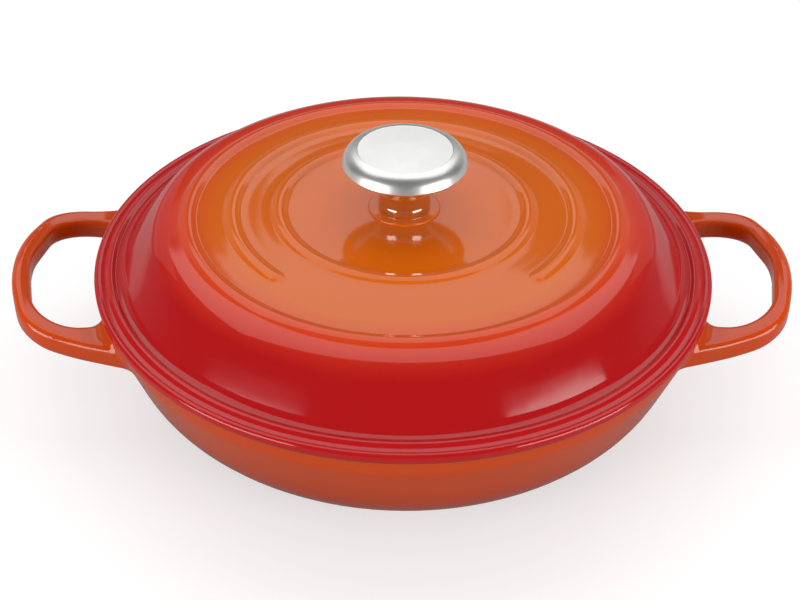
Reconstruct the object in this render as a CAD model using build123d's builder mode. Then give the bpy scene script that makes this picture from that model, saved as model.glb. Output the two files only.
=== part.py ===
from build123d import *
import math
import os

# A covered braiser in enamelled cast iron: a shallow pan with two loop handles, a domed lid with
# three raised rings, and a hollow steel knob held by one screw. Millimetres, +Z up. The origin is
# the centre of the pan's foot, +X points along the right handle and -Y is the front.

# Pan
rim_radius = 149.4
pan_height = 64.0
pan_wall = 4.6
pan_floor = 5.2
rim_band = 8.3
wall_slope = 20.7
foot_step = 5.0
foot_slope = 18.0
foot_slope_flat = 1.3
foot_rounding = 2.4
foot_ring_width = 17.0
foot_recess = 0.8
bend_radius = 42.8
floor_bend_radius = 38.0
band_rounding = 14.0
rim_rounding = 1.6
mouth_rounding = 1.2

# Loop handles: level at the wall, then curling up towards the nose
handle_overhang = 45.1
handle_nose_width = 8.2
handle_shoulder = 51.0
handle_hole_inset = 2.8
handle_thickness = 11.3
handle_drop = 13.7
handle_root_depth = 43.0
handle_root_slope = 2.0
handle_curl_radius = 110.0
handle_curl_turn = 60.0
handle_nose_angle = 17.4
handle_hole_nose_angle = 11.3
handle_side_angle = 15.5
handle_hole_side_angle = 10.0
handle_nose_share = 0.593
handle_hole_nose_share = 0.244
handle_corner_share = 0.297
handle_hole_corner_share = 0.458
handle_edge_rounding = 3.2
handle_root_fillet = 8.5

# Lid
lid_overhang = 3.6
flange_thickness = 5.2
flange_bottom_rounding = 2.3
flange_top_rounding = 1.9
edge_top_width = 3.3
groove_width = 2.2
groove_depth = 0.35
groove_rise_width = 1.1
groove_rounding = 1.0
bead_width = 5.0
bead_peak = 1.5
bead_rounding = 2.4
bead_foot_rounding = 1.5
cove_radius = 6.0
flange_width = 11.1
wall_angle = 54.0
shoulder_angle = 49.0
shoulder_radius = 15.0
dome_height = 31.2
crown_fall = 2.2
lid_wall = 4.0
rib_depth = 3.5
rib_width = 5.6
rib_clearance = 0.8
rib_rounding = 0.8

# Raised rings on the lid
ring_height = 1.6
ring_width = 8.4
ring_sink = 1.0
ring_fillet = 2.0
outer_ring_inset = 8.1
outer_ring_step = 21.6
inner_ring_step = 23.0
crown_flat_inset = 0.8
middle_ring_gap = 92.0

# Knob boss and its screw hole
boss_radius = 17.7
boss_height = 1.0
boss_rounding = 0.7
hole_clearance = 0.4

# Knob
knob_radius = 30.6
knob_height = 32.2
knob_cap_height = 8.3
knob_face_radius = 22.9
knob_face_sink = 0.4
knob_sheet = 1.2
knob_shoulder_drop = 1.6
knob_side_angle = 68.0
knob_shoulder_rounding = 7.5
knob_lip_rounding = 1.0
knob_lip_width = 5.1
knob_neck_radius = 12.5
knob_foot_step = 0.15
knob_foot_height = 3.4
knob_foot_rounding = 0.8
knob_foot_plate = 1.6
knob_flare_share = 0.5
knob_flare_round_share = 0.52
knob_lip_clearance = 0.3
knob_flange_clearance = 0.4

# Fixings inside the knob and under the lid
screw_radius = 3.0
screw_head_radius = 5.6
screw_head_height = 3.4
screw_head_rounding = 1.2
screw_slot_width = 1.4
screw_slot_depth = 1.6
screw_reach = 12.0
washer_radius = 7.4
washer_thickness = 1.2
insert_radius = 6.0
insert_height = 16.0
thread_clearance = 0.05

# How far a cut runs past what it cuts
overrun = 1.0


def slope_of(degrees):
    """Run over rise of a line at this angle."""
    return math.tan(math.radians(degrees))


def close_with_line(outline):
    """Joins the end of an outline to its start."""
    Line(outline @ 1, outline @ 0)


# Pan outline: the wall leans out from the bend to the rim band, and the bend meets the foot's slope
band_level = pan_height - rim_band
wall_lean = slope_of(wall_slope)
bend_turn = 90 - wall_slope - foot_slope
foot_run = foot_slope_flat + bend_radius * slope_of(bend_turn / 2)
bend_level = foot_step + foot_run * math.sin(math.radians(foot_slope))
bend_place = rim_radius - (band_level - bend_level) * wall_lean
foot_radius = bend_place - foot_run * math.cos(math.radians(foot_slope))
mouth_radius = rim_radius - pan_wall
wall_across = pan_wall / math.cos(math.radians(wall_slope))
inner_band_level = band_level + (wall_across - pan_wall) / wall_lean
floor_level = foot_recess + pan_floor
floor_corner = mouth_radius - (inner_band_level - floor_level) * wall_lean
foot_ring_inner = foot_radius - foot_ring_width

# Side view of a handle: its middle line passes the rim at this level
handle_level = pan_height - handle_drop
handle_reach = rim_radius + handle_overhang
handle_root = rim_radius - handle_root_depth
band_start = handle_root - overrun
band_start_level = handle_level - (handle_root_depth + overrun) * slope_of(handle_root_slope)


def handle_outline(reach, shoulder, nose_angle, side_angle, nose_share, corner_share):
    """Closed outline of a loop from above: two sides from the root, two corners and a bowed nose.
    The shares say how much of each half of the nose its own arc and the corner's arc take."""
    bow = math.radians(nose_angle)
    half_nose = shoulder / math.cos(bow)
    nose_radius = half_nose * nose_share / math.tan(bow)
    corner_radius = half_nose * corner_share / slope_of((90 - nose_angle - side_angle) / 2)
    nose = reach + nose_radius * (1 / math.cos(bow) - 1)
    corner = nose - shoulder * math.tan(bow)
    root_half = shoulder + (corner - handle_root) * slope_of(side_angle)
    FilletPolyline(
        (handle_root, root_half),
        (corner, shoulder),
        (nose, 0),
        (corner, -shoulder),
        (handle_root, -root_half),
        radius=[0, corner_radius, nose_radius, corner_radius, 0],
        close=True,
    )


with BuildPart() as handle:
    with BuildSketch(Plane.XZ):
        with BuildLine():
            level_run = Line((band_start, band_start_level), (rim_radius, handle_level))
            JernArc(level_run @ 1, level_run % 1, handle_curl_radius, handle_curl_turn)
        trace(line_width=handle_thickness)
    extrude(amount=handle_shoulder * 2, both=True)
    with BuildSketch(Plane.XY):
        with BuildLine():
            handle_outline(
                handle_reach,
                handle_shoulder,
                handle_nose_angle,
                handle_side_angle,
                handle_nose_share,
                handle_corner_share,
            )
        make_face()
        with BuildLine():
            handle_outline(
                handle_reach - handle_nose_width,
                handle_shoulder - handle_hole_inset,
                handle_hole_nose_angle,
                -handle_hole_side_angle,
                handle_hole_nose_share,
                handle_hole_corner_share,
            )
        make_face(mode=Mode.SUBTRACT)
    extrude(amount=pan_height * 2, mode=Mode.INTERSECT)
    loop_edges = handle.edges().filter_by(Axis.Z, reverse=True).filter_by(Axis.Y, reverse=True)
    fillet(loop_edges, handle_edge_rounding)

with BuildPart() as pan:
    with BuildSketch(Plane.XZ):
        with BuildLine():
            outer = FilletPolyline(
                (0, foot_recess),
                (foot_ring_inner - foot_recess, foot_recess),
                (foot_ring_inner, 0),
                (foot_radius, 0),
                (foot_radius, foot_step),
                (bend_place, bend_level),
                (rim_radius, band_level),
                (rim_radius, pan_height),
                (0, pan_height),
                radius=[0, 0, foot_rounding, 0, bend_radius, band_rounding, rim_rounding],
            )
            close_with_line(outer)
        make_face()
    revolve()
    add(handle.part)
    fillet(pan.edges(Select.NEW), handle_root_fillet)
    mirror(handle.part, about=Plane.YZ)
    fillet(pan.edges(Select.NEW), handle_root_fillet)
    with BuildSketch(Plane.XZ):
        with BuildLine():
            inner = FilletPolyline(
                (0, floor_level),
                (floor_corner, floor_level),
                (mouth_radius, inner_band_level),
                (mouth_radius, pan_height + overrun),
                (0, pan_height + overrun),
                radius=[floor_bend_radius, band_rounding, 0],
            )
            close_with_line(inner)
        make_face()
    revolve(mode=Mode.SUBTRACT)
    rim_circles = pan.edges().filter_by(GeomType.CIRCLE).group_by(Axis.Z)[-1]
    fillet(rim_circles.sort_by(SortBy.RADIUS)[0], mouth_rounding)
pan.part.label = "pan"

# Dome: a flat crown, a large arc under the rings, a tight shoulder and a bowed wall that steepens
# to the cove by the flange. The flat of the crown ends under the inner ring.
lid_radius = rim_radius + lid_overhang
cove_outer = lid_radius - flange_width
wall_turn = math.radians(wall_angle)
shoulder_turn = math.radians(shoulder_angle)
wall_radius = cove_outer - cove_radius * math.sin(wall_turn)
wall_level = flange_thickness + cove_radius * (1 - math.cos(wall_turn))
crown_run = outer_ring_inset + outer_ring_step + inner_ring_step + crown_flat_inset
crown_turn = 2 * math.atan(crown_fall / crown_run)
crown_radius = crown_run / math.sin(crown_turn)
shoulder_run = shoulder_radius * (math.sin(shoulder_turn) - math.sin(crown_turn))
shoulder_drop = shoulder_radius * (math.cos(crown_turn) - math.cos(shoulder_turn))
wall_drop = dome_height - crown_fall - shoulder_drop - wall_level
wall_bow_radius = wall_drop / (math.cos(shoulder_turn) - math.cos(wall_turn))
wall_run = wall_bow_radius * (math.sin(wall_turn) - math.sin(shoulder_turn))
crown_edge = wall_radius - wall_run - shoulder_run
outer_ring_radius = crown_edge - outer_ring_inset
middle_ring_radius = outer_ring_radius - outer_ring_step
inner_ring_radius = middle_ring_radius - inner_ring_step
dome_flat_radius = inner_ring_radius - crown_flat_inset


def dome_surface(radius):
    """Height of the dome's outer surface over the seat, inside the shoulder."""
    run = max(radius - dome_flat_radius, 0)
    return dome_height - crown_radius + math.sqrt(crown_radius**2 - run**2)


# The lid is drawn on a plane whose zero is the seat, where the flange rests on the pan's rim
seat_plane = Plane(origin=(0, 0, pan_height), x_dir=(1, 0, 0), z_dir=(0, -1, 0))
rib_outer = mouth_radius - rib_clearance
rib_inner = rib_outer - rib_width
groove_outer = lid_radius - edge_top_width
groove_inner = groove_outer - groove_width
groove_level = flange_thickness - groove_depth
bead_inner = groove_inner - bead_width

# Each raised ring is a slice of a round bar that is sunk into the dome
ring_round = (ring_width**2 / 4 + ring_height**2) / (2 * ring_height)
ring_half = math.sqrt(ring_round**2 - (ring_round - ring_height - ring_sink) ** 2)
gap_start = math.radians(middle_ring_gap / 2 - 90)
crown_level = pan_height + dome_height
boss_level = crown_level + boss_height
bore_radius = screw_radius + hole_clearance


def turned_seat_plane(angle):
    """The seat plane turned about the lid's axis."""
    side = (math.cos(angle), math.sin(angle), 0)
    return Plane(origin=(0, 0, pan_height), x_dir=side, z_dir=(math.sin(angle), -math.cos(angle), 0))


def ring_section(radius):
    """Whole section of a raised ring at this radius."""
    top = dome_surface(radius) + ring_height
    low = dome_surface(radius) - ring_sink
    bow = ThreePointArc((radius - ring_half, low), (radius, top), (radius + ring_half, low))
    close_with_line(bow)


def ring_end_section(radius):
    """The half section of a raised ring that its rounded end turns about the crest."""
    top = dome_surface(radius) + ring_height
    low = dome_surface(radius) - ring_sink
    bow_height = top - ring_round + math.sqrt(ring_round**2 - ring_half**2 / 4)
    ThreePointArc((radius, top), (radius + ring_half / 2, bow_height), (radius + ring_half, low))
    Line((radius + ring_half, low), (radius, low))
    Line((radius, low), (radius, top))


with BuildPart() as lid:
    with BuildSketch(seat_plane):
        with BuildLine():
            crown = Line((0, dome_height), (dome_flat_radius, dome_height))
            slope = JernArc(crown @ 1, crown % 1, crown_radius, -math.degrees(crown_turn))
            shoulder = JernArc(
                slope @ 1, slope % 1, shoulder_radius, math.degrees(crown_turn) - shoulder_angle
            )
            wall = JernArc(shoulder @ 1, shoulder % 1, wall_bow_radius, shoulder_angle - wall_angle)
            cove = JernArc(wall @ 1, wall % 1, cove_radius, wall_angle)
            edge = FilletPolyline(
                cove @ 1,
                (bead_inner, flange_thickness),
                (groove_inner - bead_width / 2, flange_thickness + bead_peak),
                (groove_inner, groove_level),
                (groove_outer, groove_level),
                (groove_outer + groove_rise_width, flange_thickness),
                (lid_radius, flange_thickness),
                (lid_radius, 0),
                (rib_outer, 0),
                (rib_outer, -rib_depth),
                (rib_inner, -rib_depth),
                radius=[
                    bead_foot_rounding,
                    bead_rounding,
                    groove_rounding,
                    groove_rounding,
                    groove_rounding,
                    flange_top_rounding,
                    flange_bottom_rounding,
                    0,
                    rib_rounding,
                ],
            )
            hollow_crown = Line((0, dome_height - lid_wall), (dome_flat_radius, dome_height - lid_wall))
            hollow_slope = JernArc(
                hollow_crown @ 1, hollow_crown % 1, crown_radius - lid_wall, -math.degrees(crown_turn)
            )
            hollow_shoulder = JernArc(
                hollow_slope @ 1,
                hollow_slope % 1,
                shoulder_radius - lid_wall,
                math.degrees(crown_turn) - shoulder_angle,
            )
            hollow_wall = JernArc(
                hollow_shoulder @ 1,
                hollow_shoulder % 1,
                wall_bow_radius - lid_wall,
                shoulder_angle - wall_angle,
            )
            Line(hollow_wall @ 1, edge @ 1)
            Line(hollow_crown @ 0, crown @ 0)
        make_face()
    revolve()
    for radius in (inner_ring_radius, outer_ring_radius):
        with BuildSketch(seat_plane):
            with BuildLine():
                ring_section(radius)
            make_face()
        revolve()
        fillet(lid.edges(Select.NEW), ring_fillet)
    with BuildSketch(turned_seat_plane(gap_start)):
        with BuildLine():
            ring_section(middle_ring_radius)
        make_face()
    middle_ring = revolve(revolution_arc=360 - middle_ring_gap, mode=Mode.PRIVATE)
    ring_ends = []
    for angle in (gap_start, -math.pi - gap_start):
        with BuildSketch(turned_seat_plane(angle)):
            with BuildLine():
                ring_end_section(middle_ring_radius)
            make_face()
        end_place = (middle_ring_radius * math.cos(angle), middle_ring_radius * math.sin(angle), 0)
        ring_ends.append(revolve(axis=Axis(end_place, (0, 0, 1)), mode=Mode.PRIVATE))
    add([middle_ring] + ring_ends)
    fillet(lid.edges(Select.NEW), ring_fillet)
    with BuildSketch(Plane.XY.offset(crown_level)):
        Circle(boss_radius)
    extrude(amount=boss_height)
    fillet(lid.edges(Select.LAST).group_by(Axis.Z)[-1], boss_rounding)
    with BuildSketch(Plane.XY.offset(boss_level)):
        Circle(bore_radius)
    extrude(amount=-(boss_height + lid_wall + overrun), mode=Mode.SUBTRACT)
lid.part.label = "lid"

# The knob stands on the boss and is drawn on a plane whose zero is its foot. Its cap is a pressed
# face with sloping sides and a turned-in lip, and the flange of its stem rests inside the lip.
foot_plane = Plane(origin=(0, 0, boss_level), x_dir=(1, 0, 0), z_dir=(0, -1, 0))
knob_lip_level = knob_height - knob_cap_height
lip_inner = knob_radius - knob_lip_width
lip_top = knob_lip_level + knob_sheet
face_level = knob_height - knob_face_sink
side_lean = 1 / slope_of(knob_side_angle)
side_foot = knob_radius + knob_lip_rounding * (slope_of(90 - knob_side_angle / 2) - 1)
side_across = knob_sheet / math.sin(math.radians(knob_side_angle))


def cap_side(level):
    """Radius of the cap's sloping side, before its roundings, at this level."""
    return side_foot - (level - knob_lip_level) * side_lean


cap_shoulder_level = knob_height - knob_shoulder_drop
flange_outer = cap_side(lip_top + knob_sheet) - side_across - knob_flange_clearance
flare_outer = lip_inner - knob_lip_clearance
neck_level = knob_foot_height + knob_foot_rounding
flare_level = knob_lip_level * knob_flare_share
flare_turn = math.atan((flare_outer - knob_neck_radius) / (knob_lip_level - knob_sheet - flare_level))
flare_round = (flare_level - neck_level) * knob_flare_round_share / math.tan(flare_turn / 2)

with BuildPart() as knob_cap:
    with BuildSketch(foot_plane):
        with BuildLine():
            shell = FilletPolyline(
                (0, face_level),
                (knob_face_radius, face_level),
                (knob_face_radius + knob_face_sink, knob_height),
                (cap_side(cap_shoulder_level), cap_shoulder_level),
                (side_foot, knob_lip_level),
                (lip_inner, knob_lip_level),
                (lip_inner, lip_top),
                (cap_side(lip_top) - side_across, lip_top),
                (cap_side(cap_shoulder_level - knob_sheet) - side_across, cap_shoulder_level - knob_sheet),
                (knob_face_radius, face_level - knob_sheet),
                (0, face_level - knob_sheet),
                radius=[0, 0, knob_shoulder_rounding, knob_lip_rounding, 0, 0, 0, knob_sheet, knob_sheet],
            )
            close_with_line(shell)
        make_face()
    revolve()
knob_cap.part.label = "knob_cap"

with BuildPart() as knob_stem:
    with BuildSketch(foot_plane):
        with BuildLine():
            shell = FilletPolyline(
                (bore_radius, 0),
                (knob_neck_radius + knob_foot_step, 0),
                (knob_neck_radius + knob_foot_step, knob_foot_height),
                (knob_neck_radius, neck_level),
                (knob_neck_radius, flare_level),
                (flare_outer, knob_lip_level - knob_sheet),
                (flare_outer, lip_top),
                (flange_outer, lip_top),
                (flange_outer, lip_top + knob_sheet),
                (flare_outer - knob_sheet, lip_top + knob_sheet),
                (flare_outer - knob_sheet, knob_lip_level),
                (knob_neck_radius - knob_sheet, flare_level + knob_sheet),
                (knob_neck_radius - knob_sheet, knob_foot_plate),
                (bore_radius, knob_foot_plate),
                radius=[
                    knob_foot_rounding,
                    knob_foot_rounding,
                    knob_foot_rounding,
                    flare_round,
                    0,
                    0,
                    0,
                    0,
                    0,
                    0,
                    flare_round + knob_sheet,
                    0,
                ],
            )
            close_with_line(shell)
        make_face()
    revolve()
knob_stem.part.label = "knob_stem"

with BuildPart() as knob_insert:
    with BuildSketch(Plane.XY.offset(boss_level + knob_foot_plate)):
        Circle(insert_radius)
        Circle(screw_radius + thread_clearance, mode=Mode.SUBTRACT)
    extrude(amount=insert_height)
knob_insert.part.label = "knob_insert"

with BuildPart() as screw_washer:
    with BuildSketch(Plane.XY.offset(crown_level - lid_wall)):
        Circle(washer_radius)
        Circle(bore_radius, mode=Mode.SUBTRACT)
    extrude(amount=-washer_thickness)
screw_washer.part.label = "screw_washer"

head_level = crown_level - lid_wall - washer_thickness
screw_tip = boss_level + knob_foot_plate + screw_reach
with BuildPart() as knob_screw:
    with BuildSketch(Plane.XY.offset(head_level)):
        Circle(screw_head_radius)
    extrude(amount=-screw_head_height)
    fillet(knob_screw.faces().sort_by(Axis.Z)[0].edges(), screw_head_rounding)
    with BuildSketch(Plane.XY.offset(head_level)):
        Circle(screw_radius)
    extrude(amount=screw_tip - head_level)
    with BuildSketch(Plane.XY.offset(head_level - screw_head_height)):
        Rectangle(2 * screw_head_radius + overrun, screw_slot_width)
    extrude(amount=screw_slot_depth, mode=Mode.SUBTRACT)
knob_screw.part.label = "knob_screw"

os.makedirs("parts", exist_ok=True)
for piece in (pan, lid, knob_cap, knob_stem, knob_insert, screw_washer, knob_screw):
    export_step(piece.part, f"parts/{piece.part.label}.step")
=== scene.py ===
import math

import bpy
from bpy.props import FloatProperty, FloatVectorProperty, IntProperty, PointerProperty
from mathutils import Matrix, Quaternion, Vector


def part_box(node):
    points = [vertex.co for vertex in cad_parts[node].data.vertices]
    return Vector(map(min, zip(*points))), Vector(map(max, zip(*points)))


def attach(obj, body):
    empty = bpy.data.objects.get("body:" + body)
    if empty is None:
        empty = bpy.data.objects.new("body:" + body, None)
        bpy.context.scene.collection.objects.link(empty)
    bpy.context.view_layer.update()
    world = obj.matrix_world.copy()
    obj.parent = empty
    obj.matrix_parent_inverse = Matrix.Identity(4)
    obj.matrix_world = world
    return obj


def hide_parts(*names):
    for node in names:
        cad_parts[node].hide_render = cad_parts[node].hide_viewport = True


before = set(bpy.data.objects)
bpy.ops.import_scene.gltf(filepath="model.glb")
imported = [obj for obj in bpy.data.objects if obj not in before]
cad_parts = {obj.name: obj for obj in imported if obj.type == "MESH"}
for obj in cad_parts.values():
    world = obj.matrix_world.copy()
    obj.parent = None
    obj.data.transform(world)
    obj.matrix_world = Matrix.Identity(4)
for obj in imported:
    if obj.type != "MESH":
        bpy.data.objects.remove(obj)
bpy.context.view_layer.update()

bl_info = {
    "name": "Enamelled braiser",
    "version": (1, 0, 0),
    "blender": (4, 5, 0),
    "location": "View3D > Sidebar > Braiser",
    "description": "Finishes a covered cast-iron braiser in shaded enamel and steel and sets up its studio",
    "category": "Object",
}

# Places that the pieces and finishes are measured from, in metres
MILLIMETRE = 0.001
LID_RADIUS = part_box("lid")[1][0]
RIM_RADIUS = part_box("pan")[1][1]
CAP_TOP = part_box("knob_cap")[1][2]

# How finely the lid is modelled
ARC_STEP = math.radians(7.5)
PLAIN_STEP = 0.004
RING_STEPS = 20
MERGE_DISTANCE = 0.000002
SHARP_ANGLE = math.radians(40.0)

# Enamel texture: features per metre, then how much each one changes the colour or the surface
CLOUD_SCALE = 26.0
GRAIN_SCALE = 900.0
SPECK_SCALE = 1500.0
PEEL_SCALE = 160.0
WAVE_SCALE = 45.0
LID_DRIFT_SCALE = 14.0
# PAN_DRIFT_SCALE sets how quickly the edge of the pan's painted shade wanders
PAN_DRIFT_SCALE = 12.0
CLOUD_TONE = 0.05
GRAIN_TONE = 0.02
INSIDE_CLOUD_TONE = 0.1
SPECK_START, SPECK_END = 0.62, 0.74
SPECK_SHARE = 0.35
SPECK_TONE = 0.62
CLOUD_ROUGHNESS = 0.03
SEAT_ROUGHNESS = 0.5
ENAMEL_IOR = 1.52
WAVE_SHARE = 2.5
PEEL_DEPTH = 0.000012

# Where one enamel ends and the next begins, in metres from the seat, the mouth or the rim; the PAN_SHADE pair
# gives the heights over the pan's foot across which its painted shade fades out, and PAN_DRIFT how far that
# edge wanders
LID_DRIFT = 0.003
PAN_DRIFT = 0.004
AXIS_POINT = 0.3
SIDE_EDGE = 0.01
LID_OUTSIDE_RISE = 0.0004
LID_SEAT_START, LID_SEAT_END = 0.002, 0.0005
PAN_INSIDE_START, PAN_INSIDE_END = 0.0006, 0.001
PAN_SEAT_START, PAN_SEAT_END = 0.0009, 0.0004
PAN_RIM_EDGE = 0.001
PAN_SHADE_LOW, PAN_SHADE_HIGH = 0.004, 0.046

# Steel texture: features per metre, colours of the smears, and the edge of the knob's face
SMEAR_SCALE = 90.0
SMEAR_SHARE = 0.3
SMEAR_COLOUR = (0.66, 0.66, 0.65)
SMEAR_ROUGHNESS = 0.03
SMEAR_HEIGHT = 0.2
FACE_EDGE = 0.0003
FACE_START, FACE_END = 0.0012, 0.0009
FACE_MARKS = 9000.0
FACE_MARK_DRIFT = 2.0
FACE_MARK_HEIGHT = 0.6
STEEL_BUMP, STEEL_DEPTH = 0.6, 0.000002
TURNED_SMEAR_SCALE = 300.0
TURNED_SMEAR_SHARE = 0.5
TURNED_COLOUR = (0.45, 0.44, 0.42)
TURNED_MARKS = 14000.0
TURNED_MARK_DRIFT = 3.0
TURNED_ROUGHNESS = 0.22
TURNED_SMEAR_ROUGHNESS = 0.16
TURNED_DEPTH = 0.000003

# Overhead lamps, in metres
TOP_PANEL = {"centre": (0.0, 0.75, 1.2), "target": (0.0, 0.75, 0.0), "width": 1.9, "height": 1.4}
REAR_PANEL = {"centre": (0.0, 1.75, 1.2), "target": (0.0, 1.75, 0.0), "width": 0.5, "height": 0.6}

# Lamps on both sides: degrees from the front, degrees up and metres away, their sizes and their roll
FRONT_PANELS = {"azimuth": 54.0, "elevation": 11.2, "distance": 1.3, "width": 0.9, "height": 0.6, "roll": -15.6}
BACK_PANELS = {"azimuth": 142.0, "elevation": 20.0, "distance": 1.6, "width": 0.9, "height": 0.8, "roll": 0.0}
LAMP_LEVEL = 0.09
LAMP_TARGET = (0.0, 0.0, 0.08)

# Floor and surround: where the floor fades to white, and how bright each looks to gloss and to light
FLOOR_SIZE = 12.0
FADE_START, FADE_END = 0.3, 1.1
FLOOR_GREY = 0.5
FLOOR_GLOW = 0.55
BOUNCE_GREY = 0.35
NEAR_FLOOR_IN_GLOSS = 0.07
FAR_FLOOR_IN_GLOSS = 0.3
SKY_IN_GLOSS = 0.12
HORIZON_IN_GLOSS = 0.12
HORIZON_LOW, HORIZON_HIGH = 0.02, 0.3

# Camera, fitted to the lid's rim and rings: angles in radians, places in metres
CAMERA_TILT = 0.633093
CAMERA_ROLL = 0.0157354
CAMERA_TURN = math.radians(-1.55)
CAMERA_DISTANCE = 0.753547
CAMERA_DROP = 0.022358
CAMERA_ASIDE = -0.0013665
RIM_LEVEL = 0.0663
SENSOR_WIDTH = 36.0


def linear(red, green, blue):
    """A display colour, 0 to 255 in each channel, as linear light."""
    channels = []
    for value in (red, green, blue):
        share = value / 255
        channels.append(share / 12.92 if share <= 0.04045 else ((share + 0.055) / 1.055) ** 2.4)
    return tuple(channels)


def colour_property(name, description, red, green, blue):
    """A colour that a user can change, with its default as a display colour."""
    return FloatVectorProperty(
        name=name,
        description=description,
        subtype="COLOR",
        size=3,
        min=0.0,
        max=1.0,
        default=linear(red, green, blue),
    )


def length_property(name, description, millimetres):
    """A length that a user can change, with its default in millimetres."""
    return FloatProperty(
        name=name,
        description=description,
        unit="LENGTH",
        min=0.0,
        precision=5,
        default=millimetres * MILLIMETRE,
    )


def angle_property(name, description, degrees):
    """An angle that a user can change, with its default in degrees."""
    return FloatProperty(name=name, description=description, subtype="ANGLE", default=math.radians(degrees))


class BraiserLid(bpy.types.PropertyGroup):
    """Sizes of the lid, in its section and around its raised rings."""

    seat_level: length_property("Seat level", "Height of the pan's rim, on which the lid rests", 64.0)
    mouth_radius: length_property("Mouth radius", "Inner radius of the pan's rim", 144.8)
    flange_thickness: length_property("Flange thickness", "Thickness of the flange at its edge", 5.2)
    flange_width: length_property("Flange width", "From the lid's edge to the foot of its wall", 11.1)
    flange_top_rounding: length_property("Top rounding", "Rounding of the flange's upper edge", 1.9)
    flange_bottom_rounding: length_property("Bottom rounding", "Rounding of the flange's lower edge", 2.3)
    edge_top_width: length_property("Edge width", "Width of the flange outside its groove", 3.3)
    groove_width: length_property("Groove width", "Width of the groove's floor", 2.2)
    groove_depth: length_property("Groove depth", "Depth of the groove", 0.35)
    groove_rise_width: length_property("Groove rise", "Width of the groove's outer slope", 1.1)
    groove_rounding: length_property("Groove rounding", "Rounding of the groove's edges", 1.0)
    bead_width: length_property("Bead width", "Width of the bead inside the groove", 5.0)
    bead_peak: length_property("Bead peak", "Height of the bead before it is rounded", 1.5)
    bead_rounding: length_property("Bead rounding", "Rounding of the bead's top", 2.4)
    bead_foot_rounding: length_property("Bead foot", "Rounding between the bead and the cove", 1.5)
    cove_radius: length_property("Cove", "Hollow rounding at the foot of the dome's wall", 6.0)
    wall_angle: angle_property("Wall angle", "Slope of the dome's wall at its foot", 54.0)
    shoulder_angle: angle_property("Shoulder angle", "Slope at which the shoulder meets the wall", 49.0)
    shoulder_radius: length_property("Shoulder", "Rounding between the crown and the wall", 15.0)
    dome_height: length_property("Dome height", "Height of the crown over the seat", 31.2)
    crown_fall: length_property("Crown fall", "Drop of the crown from its middle to the shoulder", 2.2)
    wall_thickness: length_property("Wall", "Thickness of the casting", 4.0)
    rib_depth: length_property("Rib depth", "Depth of the rib that centres the lid", 3.5)
    rib_width: length_property("Rib width", "Width of the rib that centres the lid", 5.6)
    rib_clearance: length_property("Rib clearance", "Gap between the rib and the pan's mouth", 0.8)
    rib_rounding: length_property("Rib rounding", "Rounding of the rib's outer edge", 0.8)
    ring_height: length_property("Ring height", "Height of a raised ring", 1.6)
    ring_width: length_property("Ring width", "Width of a raised ring", 8.4)
    ring_fillet: length_property("Ring fillet", "Hollow rounding at the foot of a raised ring", 2.0)
    outer_ring_inset: length_property("Outer ring inset", "From the shoulder to the outer ring", 8.1)
    outer_ring_step: length_property("Outer step", "From the outer ring to the middle one", 21.6)
    inner_ring_step: length_property("Inner step", "From the middle ring to the inner one", 23.0)
    crown_flat_inset: length_property("Flat inset", "From the inner ring to the flat of the crown", 0.8)
    ring_gap: angle_property("Ring gap", "Opening of the middle ring, at the front", 92.0)
    boss_radius: length_property("Boss radius", "Radius of the raised seat under the knob", 17.7)
    boss_height: length_property("Boss height", "Height of the raised seat under the knob", 1.0)
    boss_rounding: length_property("Boss rounding", "Rounding of the raised seat's edge", 0.7)
    bore_radius: length_property("Bore", "Radius of the hole for the knob's screw", 3.4)
    steps: IntProperty(name="Steps", description="Steps of the lid's spin", min=8, default=480)


class BraiserEnamel(bpy.types.PropertyGroup):
    """Colours and gloss of the two enamelled castings, with the painted shade colour for the pan's foot."""

    crown: colour_property("Crown", "Orange of the lid's crown", 213, 98, 14)
    crown_edge: colour_property("Crown edge", "Orange-red just inside the outer ring", 212, 84, 18)
    shoulder: colour_property("Shoulder", "Red just outside the outer ring", 206, 50, 22)
    dome_wall: colour_property("Dome wall", "Deep red of the steep wall", 176, 12, 16)
    flange: colour_property("Flange", "Red of the flange", 184, 14, 18)
    pan_top: colour_property("Pan top", "Orange of the pan's wall and handles", 204, 68, 4)
    # Painted shade: the pan's outside darkens to this redder orange towards its foot, standing in for the shade
    # lower down
    pan_foot_painted_shade: colour_property("Pan foot", "Redder orange near the pan's foot", 168, 42, 6)
    inside: colour_property("Inside", "Sand colour of the inside", 216, 198, 168)
    seat: colour_property("Seat", "Dark matt enamel where lid and pan meet", 58, 48, 43)
    gloss: FloatProperty(
        name="Gloss roughness",
        description="Roughness of the glossy outside enamel",
        min=0.0,
        max=1.0,
        default=0.09,
    )
    satin: FloatProperty(
        name="Satin roughness",
        description="Roughness of the inside enamel",
        min=0.0,
        max=1.0,
        default=0.3,
    )


class BraiserSteel(bpy.types.PropertyGroup):
    """Colour and polish of the steel pieces."""

    colour: colour_property("Steel", "Colour of the steel", 248, 248, 245)
    polish: FloatProperty(
        name="Polish", description="Roughness of polished steel", min=0.0, max=1.0, default=0.07
    )
    rim_polish: FloatProperty(
        name="Rim polish", description="Roughness of the cap's rounded rim", min=0.0, max=1.0, default=0.34
    )
    satin: FloatProperty(
        name="Satin", description="Roughness of the satin face", min=0.0, max=1.0, default=0.2
    )
    face_radius: FloatProperty(
        name="Face radius",
        description="Radius of the satin face on the knob's cap",
        min=0.0,
        unit="LENGTH",
        default=0.0229,
    )


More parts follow.
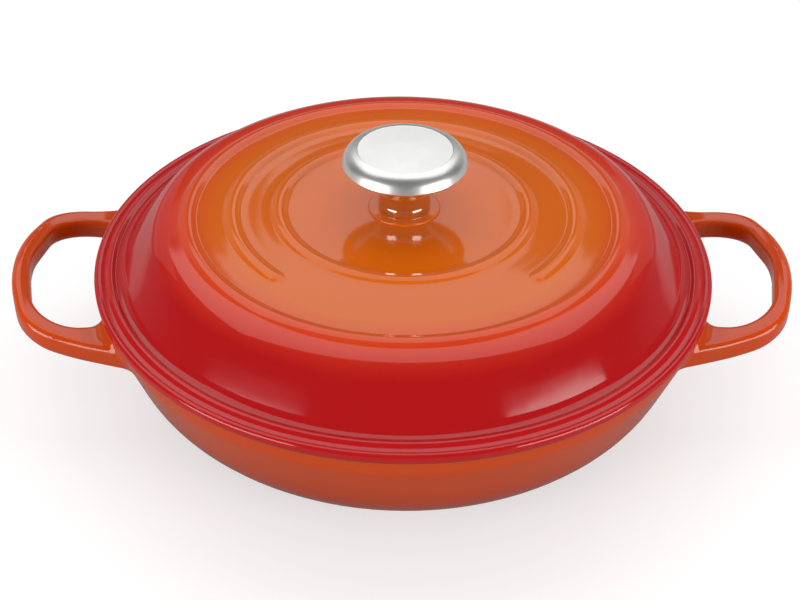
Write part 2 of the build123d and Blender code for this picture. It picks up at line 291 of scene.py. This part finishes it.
class BraiserStudio(bpy.types.PropertyGroup):
    """Lamps, floor and camera."""

    top_light: FloatProperty(
        name="Top light", description="Strength of the large panel overhead", min=0.0, default=1.2
    )
    rear_light: FloatProperty(
        name="Rear light",
        description="Strength of the small overhead panel that the knob's face shows",
        min=0.0,
        default=1.1,
    )
    front_light: FloatProperty(
        name="Front lights", description="Strength of the two front panels", min=0.0, default=5.0
    )
    back_light: FloatProperty(
        name="Back lights", description="Strength of the two back panels", min=0.0, default=0.25
    )
    fill: FloatProperty(name="Fill", description="Strength of the even fill light", min=0.0, default=0.5)
    lens: FloatProperty(
        name="Lens", description="Focal length of the camera in millimetres", min=1.0, default=67.5
    )


class Shade:
    """A shader socket that can stand in a Python expression."""

    def __init__(self, paint, socket):
        self.paint = paint
        self.socket = socket

    def maths(self, operation, first, second=0.0):
        return self.paint.node("ShaderNodeMath", {"operation": operation}, {0: first, 1: second})

    def __add__(self, other):
        return self.maths("ADD", self, other)

    def __radd__(self, other):
        return self.maths("ADD", other, self)

    def __sub__(self, other):
        return self.maths("SUBTRACT", self, other)

    def __rsub__(self, other):
        return self.maths("SUBTRACT", other, self)

    def __mul__(self, other):
        return self.maths("MULTIPLY", self, other)

    def __rmul__(self, other):
        return self.maths("MULTIPLY", other, self)

    def __truediv__(self, other):
        return self.maths("DIVIDE", self, other)

    def __pow__(self, other):
        return self.maths("POWER", self, other)

    def sine(self):
        return self.maths("SINE", self)

    def step(self, low, high):
        """0 below low, 1 above high and a smooth rise between them."""
        sockets = {"Value": self, "From Min": low, "From Max": high}
        return self.paint.node("ShaderNodeMapRange", {"interpolation_type": "SMOOTHSTEP"}, sockets)


class Paint:
    """One node material that is built up from expressions."""

    def __init__(self, tree):
        self.tree = tree
        tree.nodes.clear()

    @classmethod
    def material(cls, name):
        made = bpy.data.materials.new(name)
        made.use_nodes = True
        paint = cls(made.node_tree)
        paint.block = made
        return paint

    def node(self, kind, settings=None, sockets=None, output=0):
        """Adds a node, sets it, fills or links its sockets and returns one of its outputs."""
        made = self.tree.nodes.new(kind)
        for key, value in (settings or {}).items():
            if key == "stops":
                self.set_stops(made.color_ramp, value)
            else:
                setattr(made, key, value)
        for key, value in (sockets or {}).items():
            if isinstance(value, Shade):
                self.tree.links.new(value.socket, made.inputs[key])
            else:
                made.inputs[key].default_value = value
        return Shade(self, made.outputs[output])

    @staticmethod
    def set_stops(ramp, stops):
        while len(ramp.elements) < len(stops):
            ramp.elements.new(1.0)
        for element, (place, colour) in zip(ramp.elements, stops):
            element.position = place
            element.color = (*colour, 1.0)

    def place(self):
        """Object coordinates as a vector."""
        return self.node("ShaderNodeTexCoord", output="Object")

    def facing(self):
        """The surface's own direction as a vector."""
        return self.node("ShaderNodeTexCoord", output="Normal")

    def split(self, vector):
        """The three parts of a vector."""
        made = self.node("ShaderNodeSeparateXYZ", sockets={0: vector}).socket.node
        return [Shade(self, socket) for socket in made.outputs]

    def distance(self, x, y):
        """Distance from the upright axis."""
        return (x * x + y * y) ** 0.5

    def noise(self, vector, scale, detail=2.0, roughness=0.5):
        sockets = {"Vector": vector, "Scale": scale, "Detail": detail, "Roughness": roughness}
        return self.node("ShaderNodeTexNoise", {}, sockets)

    def drift(self, vector, scale, reach):
        """A slow wander of a place, up to a reach either way."""
        return self.noise(vector, scale) * (2 * reach) - reach

    def mix(self, factor, first, second, blend="MIX"):
        settings = {"data_type": "RGBA", "blend_type": blend}
        return self.node("ShaderNodeMix", settings, {0: factor, 6: self.rgba(first), 7: self.rgba(second)}, 2)

    @staticmethod
    def rgba(colour):
        return colour if isinstance(colour, Shade) else (*colour, 1.0)

    def tone(self, colour, factor):
        """A colour made lighter or darker by a factor."""
        return self.node("ShaderNodeVectorMath", {"operation": "SCALE"}, {0: colour, "Scale": factor})

    def bump(self, height, strength, distance):
        return self.node("ShaderNodeBump", {}, {"Height": height, "Strength": strength, "Distance": distance})

    def surface(self, shader):
        output = self.tree.nodes.new("ShaderNodeOutputMaterial")
        self.tree.links.new(shader.socket, output.inputs["Surface"])


def give(node, material):
    """Puts one material on a node of the frame."""
    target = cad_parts[node]
    target.data.materials.clear()
    target.data.materials.append(material)


def principled(paint, sockets):
    paint.surface(paint.node("ShaderNodeBsdfPrincipled", {}, sockets))


def side_mask(paint, place, facing, focus):
    """1 where the surface faces away from a point on the axis, 0 where it faces it."""
    away = paint.node("ShaderNodeVectorMath", {"operation": "SUBTRACT"}, {0: place, 1: (0.0, 0.0, focus)})
    along = paint.node("ShaderNodeVectorMath", {"operation": "DOT_PRODUCT"}, {0: away, 1: facing}, "Value")
    return along.step(-SIDE_EDGE, SIDE_EDGE)


def enamel_finish(paint, place, outside_colour, outer, inside, seat, gloss, satin):
    """Glossy enamel outside, satin enamel inside and a dark matt seat, with their fine texture."""
    cloud = paint.noise(place, CLOUD_SCALE, 3.0, 0.55)
    grain = paint.noise(place, GRAIN_SCALE, 2.0, 0.6)
    tone = 1 - (CLOUD_TONE + GRAIN_TONE) / 2 + cloud * CLOUD_TONE + grain * GRAIN_TONE
    outside_colour = paint.tone(outside_colour, tone)
    speck = paint.noise(place, SPECK_SCALE, 2.0, 0.7).step(SPECK_START, SPECK_END)
    inside_colour = paint.mix(speck * SPECK_SHARE, inside, tuple(SPECK_TONE * channel for channel in inside))
    inside_colour = paint.tone(inside_colour, 1 - INSIDE_CLOUD_TONE / 2 + cloud * INSIDE_CLOUD_TONE)
    colour = paint.mix(outer, inside_colour, outside_colour)
    colour = paint.mix(seat["mask"], colour, seat["colour"])
    roughness = (1 - outer) * (satin - gloss) + gloss + (cloud - 0.5) * CLOUD_ROUGHNESS
    roughness = roughness * (1 - seat["mask"]) + seat["mask"] * SEAT_ROUGHNESS
    peel = paint.noise(place, PEEL_SCALE) + paint.noise(place, WAVE_SCALE, 1.0) * WAVE_SHARE
    normal = paint.bump(peel, 1.0, PEEL_DEPTH)
    principled(
        paint,
        {"Base Color": colour, "Roughness": roughness, "IOR": ENAMEL_IOR, "Normal": normal},
    )


def arc_points(centre, start, turn):
    """Points round a centre from a start, through a turn that is positive to the left."""
    spoke = start - centre
    steps = max(2, math.ceil(abs(turn) / ARC_STEP))
    return [centre + Matrix.Rotation(turn * step / steps, 2) @ spoke for step in range(1, steps + 1)]


def rounded(corners):
    """Points along straight lines from corner to corner, each given as out, up and its rounding."""
    points = [Vector(corners[0][:2])]
    for before, here, after in zip(corners, corners[1:], corners[2:]):
        corner = Vector(here[:2])
        radius = here[2]
        if radius == 0:
            points.append(corner)
            continue
        back = (Vector(before[:2]) - corner).normalized()
        ahead = (Vector(after[:2]) - corner).normalized()
        half = back.angle(ahead) / 2
        start = corner + back * radius / math.tan(half)
        centre = corner + (back + ahead).normalized() * radius / math.sin(half)
        turn = math.copysign(math.pi - 2 * half, ahead.cross(back))
        points.append(start)
        points.extend(arc_points(centre, start, turn))
    points.append(Vector(corners[-1][:2]))
    return points


class LidSection:
    """The section of the lid, as points out from the axis and up from the seat."""

    def __init__(self, lid):
        self.lid = lid
        crown_run = lid.outer_ring_inset + lid.outer_ring_step + lid.inner_ring_step + lid.crown_flat_inset
        self.crown_turn = 2 * math.atan(lid.crown_fall / crown_run)
        self.crown_radius = crown_run / math.sin(self.crown_turn)
        shoulder_run = lid.shoulder_radius * (math.sin(lid.shoulder_angle) - math.sin(self.crown_turn))
        shoulder_drop = lid.shoulder_radius * (math.cos(self.crown_turn) - math.cos(lid.shoulder_angle))
        wall_foot = LID_RADIUS - lid.flange_width - lid.cove_radius * math.sin(lid.wall_angle)
        wall_level = lid.flange_thickness + lid.cove_radius * (1 - math.cos(lid.wall_angle))
        wall_drop = lid.dome_height - lid.crown_fall - shoulder_drop - wall_level
        self.bow_radius = wall_drop / (math.cos(lid.shoulder_angle) - math.cos(lid.wall_angle))
        wall_run = self.bow_radius * (math.sin(lid.wall_angle) - math.sin(lid.shoulder_angle))
        self.crown_edge = wall_foot - wall_run - shoulder_run
        outer = self.crown_edge - lid.outer_ring_inset
        middle = outer - lid.outer_ring_step
        self.rings = (middle - lid.inner_ring_step, middle, outer)
        self.flat_radius = self.rings[0] - lid.crown_flat_inset
        self.ring_round = (lid.ring_width**2 / 4 + lid.ring_height**2) / (2 * lid.ring_height)
        fillet_rise = self.ring_round - lid.ring_height + lid.ring_fillet
        self.ring_foot = math.sqrt((self.ring_round + lid.ring_fillet) ** 2 - fillet_rise**2)

    def crown_level(self, radius):
        """Height of the crown's outer face without its rings."""
        run = max(radius - self.flat_radius, 0.0)
        return self.lid.dome_height - self.crown_radius + math.sqrt(self.crown_radius**2 - run**2)

    def crown_radii(self):
        """Radii from the boss to the shoulder, close together where a ring rises."""
        radii = [self.lid.boss_radius]
        for ring in self.rings:
            start = ring - self.ring_foot
            gap = start - radii[-1]
            plain = max(1, round(gap / PLAIN_STEP))
            radii += [radii[-1] + gap / plain * (step + 1) for step in range(plain)]
            radii += [start + 2 * self.ring_foot * (step + 1) / RING_STEPS for step in range(RING_STEPS)]
        return radii + [self.crown_edge]

    def dome_side(self, inset):
        """The shoulder and the wall, moved inwards by a thickness, down to the wall's foot."""
        lid = self.lid
        level = lid.dome_height - lid.crown_fall
        heading = -self.crown_turn
        point = Vector((self.crown_edge, level)) + inset * Vector((math.sin(heading), -math.cos(heading)))
        points = [point]
        for radius, turn in (
            (lid.shoulder_radius - inset, self.crown_turn - lid.shoulder_angle),
            (self.bow_radius - inset, lid.shoulder_angle - lid.wall_angle),
        ):
            centre = point + radius * Vector((math.sin(heading), -math.cos(heading)))
            points.extend(arc_points(centre, point, turn))
            point = points[-1]
            heading += turn
        return points

    def flange(self):
        """The bead, the groove, the edge and the rib, from the cove to the foot of the hollow."""
        lid = self.lid
        top = lid.flange_thickness
        groove_outer = LID_RADIUS - lid.edge_top_width
        groove_inner = groove_outer - lid.groove_width
        rib_outer = lid.mouth_radius - lid.rib_clearance
        corners = [
            (groove_inner - lid.bead_width, top, lid.bead_foot_rounding),
            (groove_inner - lid.bead_width / 2, top + lid.bead_peak, lid.bead_rounding),
            (groove_inner, top - lid.groove_depth, lid.groove_rounding),
            (groove_outer, top - lid.groove_depth, lid.groove_rounding),
            (groove_outer + lid.groove_rise_width, top, lid.groove_rounding),
            (LID_RADIUS, top, lid.flange_top_rounding),
            (LID_RADIUS, 0.0, lid.flange_bottom_rounding),
            (rib_outer, 0.0, 0.0),
            (rib_outer, -lid.rib_depth, lid.rib_rounding),
            (rib_outer - lid.rib_width, -lid.rib_depth, 0.0),
        ]
        return rounded([(LID_RADIUS - lid.flange_width, top, 0.0), *corners])

    def points(self):
        """The whole section, closed, from the bore over the dome and back through the hollow."""
        lid = self.lid
        boss_level = lid.dome_height + lid.boss_height
        boss = rounded(
            [
                (lid.bore_radius, boss_level, 0.0),
                (lid.boss_radius, boss_level, lid.boss_rounding),
                (lid.boss_radius, lid.dome_height, 0.0),
            ]
        )
        crown = [Vector((radius, self.crown_level(radius))) for radius in self.crown_radii()[1:-1]]
        side = self.dome_side(0.0)
        cove_centre = Vector((LID_RADIUS - lid.flange_width, lid.flange_thickness + lid.cove_radius))
        cove = arc_points(cove_centre, side[-1], lid.wall_angle)
        hollow_level = lid.dome_height - lid.wall_thickness
        hollow = [Vector((lid.bore_radius, hollow_level)), Vector((self.flat_radius, hollow_level))]
        hollow += self.dome_side(lid.wall_thickness)
        return boss + crown + side + cove[:-1] + self.flange() + hollow[::-1] + boss[:1]

    def ring_lift(self, x, y):
        """How far the raised rings stand over the crown at a place."""
        lid = self.lid
        radius = math.hypot(x, y)
        inner, middle, outer = self.rings
        away = min(abs(radius - inner), abs(radius - outer))
        if math.atan2(abs(x), -y) > lid.ring_gap / 2:
            away = min(away, abs(radius - middle))
        else:
            end_x = middle * math.sin(lid.ring_gap / 2)
            end_y = -middle * math.cos(lid.ring_gap / 2)
            away = min(away, math.hypot(abs(x) - end_x, y - end_y))
        if away >= self.ring_foot:
            return 0.0
        if away > self.ring_foot * self.ring_round / (self.ring_round + lid.ring_fillet):
            return lid.ring_fillet - math.sqrt(lid.ring_fillet**2 - (self.ring_foot - away) ** 2)
        return lid.ring_height - self.ring_round + math.sqrt(self.ring_round**2 - away**2)


class BRAISER_OT_lid(bpy.types.Operator):
    """Spins the lid from its section and raises its three rings, the middle one open at the front"""

    bl_idname = "braiser.lid"
    bl_label = "Lid"
    bl_options = {"REGISTER", "UNDO"}

    def execute(self, context):
        lid = context.scene.braiser_lid
        section = LidSection(lid)
        outline = [Vector((point.x, 0.0, point.y + lid.seat_level)) for point in section.points()]
        bpy.ops.object.select_all(action="DESELECT")
        bpy.ops.mesh.primitive_plane_add(size=lid.bore_radius, location=(0.0, 0.0, 0.0))
        piece = context.object
        piece.name = "enamelled_lid"
        bpy.ops.object.mode_set(mode="EDIT")
        bpy.ops.mesh.select_all(action="SELECT")
        bpy.ops.mesh.merge(type="CENTER")
        bpy.ops.transform.translate(value=outline[0])
        for before, after in zip(outline, outline[1:]):
            bpy.ops.mesh.extrude_region_move(TRANSFORM_OT_translate={"value": after - before})
        bpy.ops.mesh.select_all(action="SELECT")
        bpy.ops.mesh.remove_doubles(threshold=MERGE_DISTANCE)
        bpy.ops.mesh.select_all(action="SELECT")
        bpy.ops.mesh.spin(steps=lid.steps, angle=math.tau, center=(0.0, 0.0, 0.0), axis=(0.0, 0.0, 1.0))
        bpy.ops.mesh.select_all(action="SELECT")
        bpy.ops.mesh.remove_doubles(threshold=MERGE_DISTANCE)
        bpy.ops.mesh.normals_make_consistent(inside=False)
        bpy.ops.object.mode_set(mode="OBJECT")
        self.raise_rings(piece, section)
        bpy.ops.object.shade_smooth_by_angle(angle=SHARP_ANGLE)
        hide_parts("lid")
        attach(piece, "lid")
        return {"FINISHED"}

    @staticmethod
    def raise_rings(piece, section):
        """Lifts the vertices of the crown's outer face where a ring stands."""
        lid = section.lid
        for vertex in piece.data.vertices:
            x, y, z = vertex.co
            radius = math.hypot(x, y)
            if lid.boss_radius < radius < section.crown_edge:
                depth = lid.seat_level + section.crown_level(radius) - z
                if depth < lid.wall_thickness / 2:
                    vertex.co.z = z + section.ring_lift(x, y)
        piece.data.update()


class BRAISER_OT_lid_enamel(bpy.types.Operator):
    """Shades the lid from orange at the crown to deep red at the wall, with a sand-coloured underside"""

    bl_idname = "braiser.lid_enamel"
    bl_label = "Lid enamel"
    bl_options = {"REGISTER", "UNDO"}

    def execute(self, context):
        look = context.scene.braiser_enamel
        lid = context.scene.braiser_lid
        paint = Paint.material("lid_enamel_finish")
        place = paint.place()
        facing = paint.facing()
        x, y, z = paint.split(place)
        radius = paint.distance(x, y)
        drift = paint.drift(place, LID_DRIFT_SCALE, LID_DRIFT)
        # Each colour with the share of the lid's radius where it is reached
        stops = [
            (0.0, look.crown),
            (0.60, look.crown),
            (0.66, look.crown_edge),
            (0.735, look.shoulder),
            (0.82, look.dome_wall),
            (0.90, look.dome_wall),
            (0.96, look.flange),
        ]
        share = (radius + drift) / LID_RADIUS
        outside = paint.node("ShaderNodeValToRGB", {"stops": stops}, {"Fac": share})
        over_seat = z.step(lid.seat_level, lid.seat_level + LID_OUTSIDE_RISE)
        outer = side_mask(paint, place, facing, -AXIS_POINT) * over_seat
        by_seat = radius.step(lid.mouth_radius - LID_SEAT_START, lid.mouth_radius - LID_SEAT_END)
        seat_mask = by_seat * (1 - outer)
        seat = {"mask": seat_mask, "colour": look.seat}
        enamel_finish(paint, place, outside, outer, tuple(look.inside), seat, look.gloss, look.satin)
        bpy.data.objects["enamelled_lid"].data.materials.append(paint.block)
        return {"FINISHED"}


class BRAISER_OT_pan_enamel(bpy.types.Operator):
    """Finishes the pan in orange enamel outside, darkened towards its foot by painted shade, and sand-coloured
    enamel inside
    """

    bl_idname = "braiser.pan_enamel"
    bl_label = "Pan enamel"
    bl_options = {"REGISTER", "UNDO"}

    def execute(self, context):
        look = context.scene.braiser_enamel
        lid = context.scene.braiser_lid
        paint = Paint.material("pan_enamel_finish")
        place = paint.place()
        facing = paint.facing()
        x, y, z = paint.split(place)
        radius = paint.distance(x, y)
        # Painted shade: the outside fades from the pan's top colour to a darker, redder orange towards its
        # foot, standing in for the shade lower down
        drift = paint.drift(place, PAN_DRIFT_SCALE, PAN_DRIFT)
        rise = (z + drift).step(PAN_SHADE_LOW, PAN_SHADE_HIGH)
        outside = paint.mix(rise, tuple(look.pan_foot_painted_shade), tuple(look.pan_top))
        past_mouth = radius.step(lid.mouth_radius + PAN_INSIDE_START, lid.mouth_radius + PAN_INSIDE_END)
        inner = (1 - side_mask(paint, place, facing, AXIS_POINT)) * (1 - past_mouth)
        rim = z.step(lid.seat_level - PAN_SEAT_START, lid.seat_level - PAN_SEAT_END)
        seat_mask = rim * (1 - radius.step(RIM_RADIUS, RIM_RADIUS + PAN_RIM_EDGE))
        seat = {"mask": seat_mask, "colour": look.seat}
        enamel_finish(paint, place, outside, 1 - inner, tuple(look.inside), seat, look.gloss, look.satin)
        give("pan", paint.block)
        return {"FINISHED"}


class BRAISER_OT_knob_steel(bpy.types.Operator):
    """Gives the knob a satin face with turning marks and a polished rim and stem"""

    bl_idname = "braiser.knob_steel"
    bl_label = "Knob steel"
    bl_options = {"REGISTER", "UNDO"}

    def execute(self, context):
        look = context.scene.braiser_steel
        for node, has_face, polish in (("knob_cap", True, look.rim_polish), ("knob_stem", False, look.polish)):
            paint = Paint.material(node + "_finish")
            place = paint.place()
            x, y, z = paint.split(place)
            radius = paint.distance(x, y)
            smear = paint.noise(place, SMEAR_SCALE, 3.0, 0.6)
            roughness = polish + smear * SMEAR_ROUGHNESS
            colour = paint.mix(smear * SMEAR_SHARE, tuple(look.colour), SMEAR_COLOUR)
            height = smear * SMEAR_HEIGHT
            if has_face:
                face = 1 - radius.step(look.face_radius - FACE_EDGE, look.face_radius)
                face = face * z.step(CAP_TOP - FACE_START, CAP_TOP - FACE_END)
                rings = (radius * FACE_MARKS + smear * FACE_MARK_DRIFT).sine()
                roughness = roughness + face * (look.satin - polish)
                height = height + face * rings * FACE_MARK_HEIGHT
            normal = paint.bump(height, STEEL_BUMP, STEEL_DEPTH)
            principled(
                paint,
                {"Base Color": colour, "Metallic": 1.0, "Roughness": roughness, "Normal": normal},
            )
            give(node, paint.block)
        return {"FINISHED"}


class BRAISER_OT_fixings_steel(bpy.types.Operator):
    """Finishes the screw, its washer and the threaded insert in turned steel"""

    bl_idname = "braiser.fixings_steel"
    bl_label = "Fixings steel"
    bl_options = {"REGISTER", "UNDO"}

    def execute(self, context):
        look = context.scene.braiser_steel
        for node in ("knob_insert", "screw_washer", "knob_screw"):
            paint = Paint.material(node + "_finish")
            place = paint.place()
            x, y, z = paint.split(place)
            radius = paint.distance(x, y)
            smear = paint.noise(place, TURNED_SMEAR_SCALE, 3.0, 0.6)
            marks = (radius * TURNED_MARKS + smear * TURNED_MARK_DRIFT).sine()
            colour = paint.mix(smear * TURNED_SMEAR_SHARE, tuple(look.colour), TURNED_COLOUR)
            roughness = TURNED_ROUGHNESS + smear * TURNED_SMEAR_ROUGHNESS
            normal = paint.bump(marks, 1.0, TURNED_DEPTH)
            principled(
                paint,
                {"Base Color": colour, "Metallic": 1.0, "Roughness": roughness, "Normal": normal},
            )
            give(node, paint.block)
        return {"FINISHED"}


def panel_light(name, centre, target, width, height, strength, roll=0.0):
    """A rectangular lamp at a place, turned to face a point, of even strength over its face."""
    data = bpy.data.lights.new(name, "AREA")
    data.shape = "RECTANGLE"
    data.size = width
    data.size_y = height
    data.energy = strength * math.pi * width * height
    lamp = bpy.data.objects.new(name, data)
    bpy.context.collection.objects.link(lamp)
    lamp.location = centre
    facing = (Vector(target) - Vector(centre)).to_track_quat("-Z", "Y")
    lamp.rotation_euler = (facing @ Quaternion((0, 0, 1), math.radians(roll))).to_euler()
    return lamp


def around(azimuth, elevation, distance):
    """A place at an angle from the front, to the right when positive, seen from the lid."""
    turn = math.radians(azimuth)
    rise = math.radians(elevation)
    run = distance * math.cos(rise)
    return (run * math.sin(turn), -run * math.cos(turn), LAMP_LEVEL + distance * math.sin(rise))


def side_panel(name, side, panel, strength):
    """One lamp of a pair, on the left for side -1 and on the right for side 1."""
    centre = around(side * panel["azimuth"], panel["elevation"], panel["distance"])
    panel_light(name, centre, LAMP_TARGET, panel["width"], panel["height"], strength, side * panel["roll"])


class BRAISER_OT_studio(bpy.types.Operator):
    """Sets up the floor, the lamps, the world and the camera"""

    bl_idname = "braiser.studio"
    bl_label = "Studio"
    bl_options = {"REGISTER", "UNDO"}

    def execute(self, context):
        look = context.scene.braiser_studio
        self.floor()
        panel_light("top_panel", strength=look.top_light, **TOP_PANEL)
        panel_light("rear_panel", strength=look.rear_light, **REAR_PANEL)
        for side, name in ((-1, "left"), (1, "right")):
            side_panel("front_panel_" + name, side, FRONT_PANELS, look.front_light)
            side_panel("back_panel_" + name, side, BACK_PANELS, look.back_light)
        self.world(context, look.fill)
        self.camera(context, look.lens)
        context.scene.view_settings.view_transform = "Standard"
        return {"FINISHED"}

    @staticmethod
    def floor():
        bpy.ops.object.select_all(action="DESELECT")
        bpy.ops.mesh.primitive_plane_add(size=FLOOR_SIZE, location=(0.0, 0.0, 0.0))
        plane = bpy.context.object
        plane.name = "floor"
        paint = Paint.material("floor_finish")
        place = paint.place()
        x, y, z = paint.split(place)
        far = paint.distance(x, y).step(FADE_START, FADE_END)
        path = paint.node("ShaderNodeLightPath").socket.node
        seen = Shade(paint, path.outputs["Is Camera Ray"]) + Shade(paint, path.outputs["Is Transmission Ray"])
        in_gloss = NEAR_FLOOR_IN_GLOSS + far * FAR_FLOOR_IN_GLOSS
        seen = seen + Shade(paint, path.outputs["Is Glossy Ray"]) * in_gloss
        matt = paint.node("ShaderNodeBsdfDiffuse", {}, {"Color": (*[FLOOR_GREY] * 3, 1.0)})
        glow_strength = FLOOR_GLOW + far * (1 - FLOOR_GLOW)
        glow = paint.node("ShaderNodeEmission", {}, {"Color": (1, 1, 1, 1), "Strength": glow_strength})
        dark = paint.node("ShaderNodeBsdfDiffuse", {}, {"Color": (0.0, 0.0, 0.0, 1.0)})
        base = paint.node("ShaderNodeMixShader", {}, {0: far, 1: matt, 2: dark})
        lit = paint.node("ShaderNodeAddShader", {}, {0: base, 1: glow})
        plain = paint.node("ShaderNodeBsdfDiffuse", {}, {"Color": (*[BOUNCE_GREY] * 3, 1.0)})
        paint.surface(paint.node("ShaderNodeMixShader", {}, {0: seen, 1: plain, 2: lit}))
        plane.data.materials.append(paint.block)

    @staticmethod
    def world(context, fill):
        world = bpy.data.worlds.new("studio_world")
        context.scene.world = world
        world.use_nodes = True
        paint = Paint(world.node_tree)
        path = paint.node("ShaderNodeLightPath").socket.node
        camera = Shade(paint, path.outputs["Is Camera Ray"])
        camera = camera + Shade(paint, path.outputs["Is Transmission Ray"])
        glossy = Shade(paint, path.outputs["Is Glossy Ray"])
        direction = paint.node("ShaderNodeTexCoord", output="Generated")
        height = paint.split(direction)[2]
        sky = SKY_IN_GLOSS + (1 - height.step(HORIZON_LOW, HORIZON_HIGH)) * HORIZON_IN_GLOSS
        strength = camera + (1 - camera) * (glossy * sky + (1 - glossy) * fill)
        background = paint.node("ShaderNodeBackground", {}, {"Color": (1, 1, 1, 1), "Strength": strength})
        output = paint.tree.nodes.new("ShaderNodeOutputWorld")
        paint.tree.links.new(background.socket, output.inputs["Surface"])

    @staticmethod
    def camera(context, lens):
        """A camera that looks down at the lid, 0.75 m from the middle of the rim."""
        across = Vector((1.0, 0.0, 0.0))
        ahead = Vector((0.0, math.cos(CAMERA_TILT), -math.sin(CAMERA_TILT)))
        above = Vector((0.0, math.sin(CAMERA_TILT), math.cos(CAMERA_TILT)))
        right = math.cos(CAMERA_ROLL) * across + math.sin(CAMERA_ROLL) * above
        up = math.cos(CAMERA_ROLL) * above - math.sin(CAMERA_ROLL) * across
        place = Vector((CAMERA_ASIDE, 0.0, 0.0)) - CAMERA_DISTANCE * ahead - CAMERA_DROP * above
        spin = Matrix.Rotation(CAMERA_TURN, 3, "Z")
        place = spin @ place + Vector((0.0, 0.0, RIM_LEVEL))
        axes = Matrix((spin @ right, spin @ up, spin @ -ahead)).transposed()
        data = bpy.data.cameras.new("camera")
        data.lens = lens
        data.sensor_width = SENSOR_WIDTH
        camera = bpy.data.objects.new("camera", data)
        context.collection.objects.link(camera)
        camera.matrix_world = Matrix.Translation(place) @ axes.to_4x4()
        context.scene.camera = camera


class BRAISER_PT_tools(bpy.types.Panel):
    """Lists the finishes, the studio and their settings"""

    bl_label = "Braiser"
    bl_idname = "BRAISER_PT_tools"
    bl_space_type = "VIEW_3D"
    bl_region_type = "UI"
    bl_category = "Braiser"

    def draw(self, context):
        for group in GROUPS:
            settings = getattr(context.scene, group)
            box = self.layout.box()
            for name in settings.__annotations__:
                box.prop(settings, name)
        for operator in OPERATORS:
            self.layout.operator(operator.bl_idname)


OPERATORS = (
    BRAISER_OT_lid,
    BRAISER_OT_lid_enamel,
    BRAISER_OT_pan_enamel,
    BRAISER_OT_knob_steel,
    BRAISER_OT_fixings_steel,
    BRAISER_OT_studio,
)
GROUPS = {
    "braiser_lid": BraiserLid,
    "braiser_enamel": BraiserEnamel,
    "braiser_steel": BraiserSteel,
    "braiser_studio": BraiserStudio,
}


def register():
    for item in (*GROUPS.values(), *OPERATORS, BRAISER_PT_tools):
        bpy.utils.register_class(item)
    for name, group in GROUPS.items():
        setattr(bpy.types.Scene, name, PointerProperty(type=group))


def unregister():
    for name in GROUPS:
        delattr(bpy.types.Scene, name)
    for item in reversed((*GROUPS.values(), *OPERATORS, BRAISER_PT_tools)):
        bpy.utils.unregister_class(item)


def main():
    register()
    bpy.ops.braiser.lid()
    bpy.ops.braiser.lid_enamel()
    bpy.ops.braiser.pan_enamel()
    bpy.ops.braiser.knob_steel()
    bpy.ops.braiser.fixings_steel()
    bpy.ops.braiser.studio()


if __name__ == "__main__":
    main()
